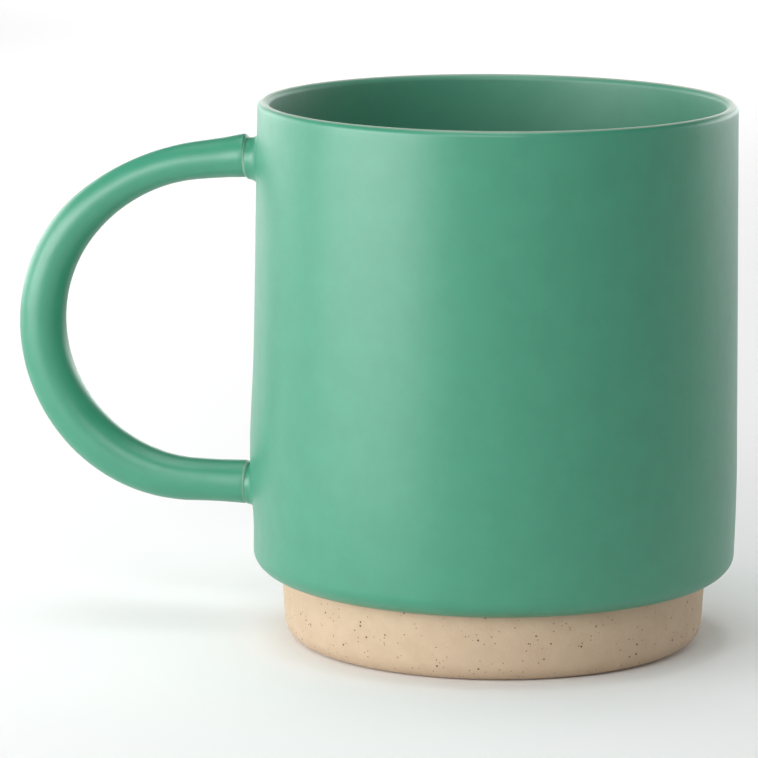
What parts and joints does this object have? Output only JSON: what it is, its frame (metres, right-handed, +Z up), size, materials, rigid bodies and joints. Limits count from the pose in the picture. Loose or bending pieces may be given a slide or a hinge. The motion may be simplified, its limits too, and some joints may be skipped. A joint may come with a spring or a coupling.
{
  "type": "ceramic mug",
  "caption": "Straight-walled stoneware mug with matte green glaze inside and out, a bare speckled stepped foot and a round-section loop handle.",
  "frame": {"origin": "centre of the ring that the foot rests on, on the cup's axis", "axes": "+Z up along the cup's axis, from the foot to the rim; the handle lies in the XZ plane and points along -X"},
  "size_m": [0.1362, 0.09, 0.1003],
  "materials": {
    "green_glaze": "satin matte",
    "liner_glaze": "satin matte",
    "bare_clay": "unglazed, fine dark speckle",
    "slip_clay": "unglazed"
  },
  "bodies": {
    "root": {"cup_body": "bare_clay", "foot_ring": "bare_clay", "foot_slip_joint": "slip_clay", "handle_rod": "bare_clay", "upper_slip_joint": "green_glaze", "lower_slip_joint": "green_glaze", "outer_glaze": "green_glaze", "liner_glaze": "liner_glaze", "handle_glaze": "green_glaze"}
  },
  "joints": []
}
